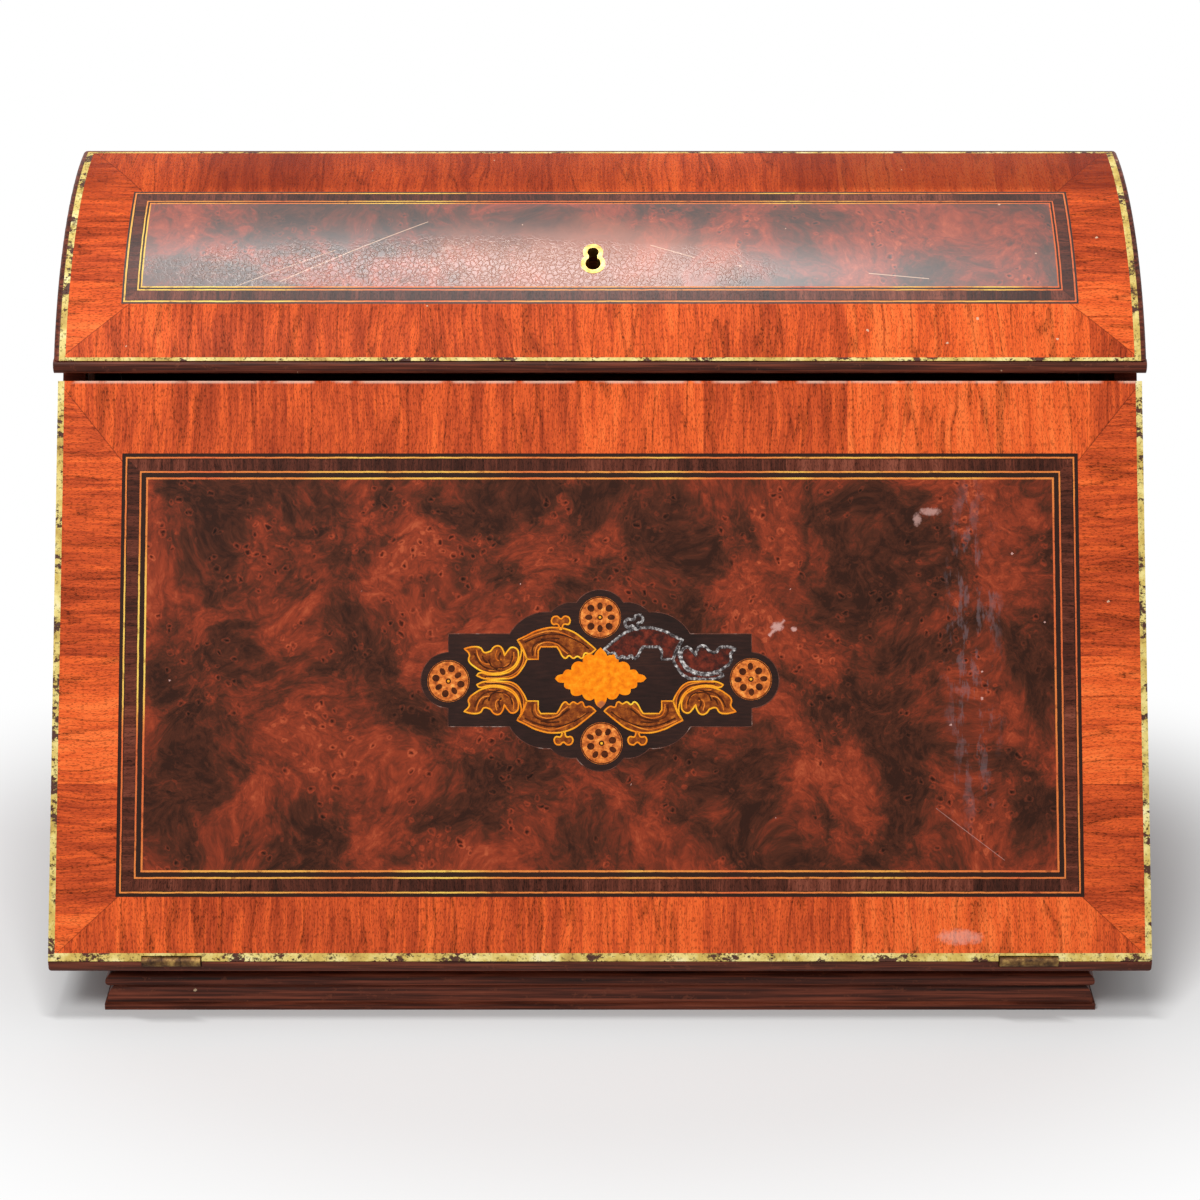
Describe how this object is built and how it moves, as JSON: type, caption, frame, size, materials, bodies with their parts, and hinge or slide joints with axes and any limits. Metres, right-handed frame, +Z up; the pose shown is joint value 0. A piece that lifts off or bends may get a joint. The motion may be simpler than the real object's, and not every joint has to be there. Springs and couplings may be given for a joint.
{
  "type": "writing slope",
  "caption": "Table-top writing box with a sloping fall front, a domed lid over a letter rack, pen tray and inkwells, veneered and inlaid.",
  "frame": {"origin": "middle of the box's footprint, on the surface that the plinth stands on", "axes": "+X across the box to the right as one faces it, +Y from the sloping front to the back, +Z up"},
  "size_m": [0.3426, 0.1736, 0.2279],
  "materials": {
    "ebonised_moulding": "dark worn polish",
    "rosewood_carcass": "polished",
    "tulipwood_crossbanding": "french polished",
    "amboyna_burr": "french polished burr",
    "kingwood_band": "french polished",
    "boxwood_stringing": "french polished",
    "pale_edging": "worn",
    "ebony_ground": "french polished",
    "boxwood_inlay": "french polished",
    "tooled_leather": "worn with a gilt border",
    "paper_lining": "aged",
    "interior_wood": "satin",
    "cut_glass": "clear",
    "aged_brass": "aged",
    "lock_steel": "aged",
    "dark_peg": "dark"
  },
  "bodies": {
    "case": {"back_board": "rosewood_carcass", "base_board": "ebonised_moulding", "case_hinge_screws": "aged_brass", "flap_hinge_base_leaves": "aged_brass", "floor_lining": "paper_lining", "hinge_pins": "aged_brass", "ink_stand": "interior_wood", "lid_hinge_case_leaves": "aged_brass", "plinth_back": "ebonised_moulding", "plinth_front": "ebonised_moulding", "plinth_left": "ebonised_moulding", "plinth_right": "ebonised_moulding", "rack_cheek_left": "interior_wood", "rack_cheek_right": "interior_wood", "rack_divider_1": "interior_wood", "rack_divider_2": "interior_wood", "rack_divider_3": "interior_wood", "side_left": "rosewood_carcass", "side_right": "rosewood_carcass"},
    "flap": {"flap_board": "rosewood_carcass", "flap_burr_panel": "amboyna_burr", "flap_crossbanding": "tulipwood_crossbanding", "flap_edging": "pale_edging", "flap_kingwood_band": "kingwood_band", "flap_stringing": "boxwood_stringing", "cartouche_ground": "ebony_ground", "cartouche_medallion": "boxwood_inlay", "cartouche_rosettes": "boxwood_inlay", "cartouche_scrolls": "boxwood_inlay", "writing_leather": "tooled_leather", "strike_plate": "aged_brass", "flap_hinge_flap_leaves": "aged_brass", "flap_hinge_screws": "aged_brass"},
    "lid": {"lid_dome": "ebonised_moulding", "lid_back": "rosewood_carcass", "lid_end_left": "rosewood_carcass", "lid_end_right": "rosewood_carcass", "lid_front_rail": "ebonised_moulding", "lid_burr_panel": "amboyna_burr", "lid_crossbanding": "tulipwood_crossbanding", "lid_edging": "pale_edging", "lid_kingwood_band": "kingwood_band", "lid_stringing": "boxwood_stringing", "keyhole_liner": "aged_brass", "lock_block": "interior_wood", "lock_case": "lock_steel", "key_pin": "lock_steel", "lock_screws": "lock_steel", "lid_hinge_lid_leaves": "aged_brass", "lid_hinge_screws": "aged_brass", "rest_peg": "dark_peg"},
    "bolt": {"lock_bolt": "lock_steel"},
    "tray": {"pen_tray": "interior_wood"},
    "well_left": {"inkwell_left": "cut_glass", "inkwell_left_collar": "aged_brass"},
    "well_right": {"inkwell_right": "cut_glass", "inkwell_right_collar": "aged_brass"},
    "cap_left": {"inkwell_left_cap": "aged_brass"},
    "cap_right": {"inkwell_right_cap": "aged_brass"}
  },
  "joints": [
    {"name": "flap_hinge", "type": "hinge", "parent": "case", "child": "flap", "pos_m": [0, -0.08525, 0.02013], "axis": [1, 0, 0], "range_deg": [0, 125]},
    {"name": "lid_hinge", "type": "hinge", "parent": "case", "child": "lid", "pos_m": [0, 0.08475, 0.17825], "axis": [-1, 0, 0], "range_deg": [0, 100]},
    {"name": "bolt_throw", "type": "slide", "parent": "lid", "child": "bolt", "axis": [0, -0.503, -0.8643], "range_m": [0, 0.009]},
    {"name": "tray_lift", "type": "slide", "parent": "case", "child": "tray", "axis": [0, 0, 1], "range_m": [0, 0.02]},
    {"name": "well_left_lift", "type": "slide", "parent": "case", "child": "well_left", "axis": [0, 0, 1], "range_m": [0, 0.02]},
    {"name": "well_right_lift", "type": "slide", "parent": "case", "child": "well_right", "axis": [0, 0, 1], "range_m": [0, 0.02]},
    {"name": "cap_left_hinge", "type": "hinge", "parent": "well_left", "child": "cap_left", "pos_m": [-0.1418, -0.01165, 0.0587], "axis": [-1, 0, 0], "range_deg": [0, 100]},
    {"name": "cap_right_hinge", "type": "hinge", "parent": "well_right", "child": "cap_right", "pos_m": [0.1418, -0.01165, 0.0587], "axis": [-1, 0, 0], "range_deg": [0, 100]}
  ]
}
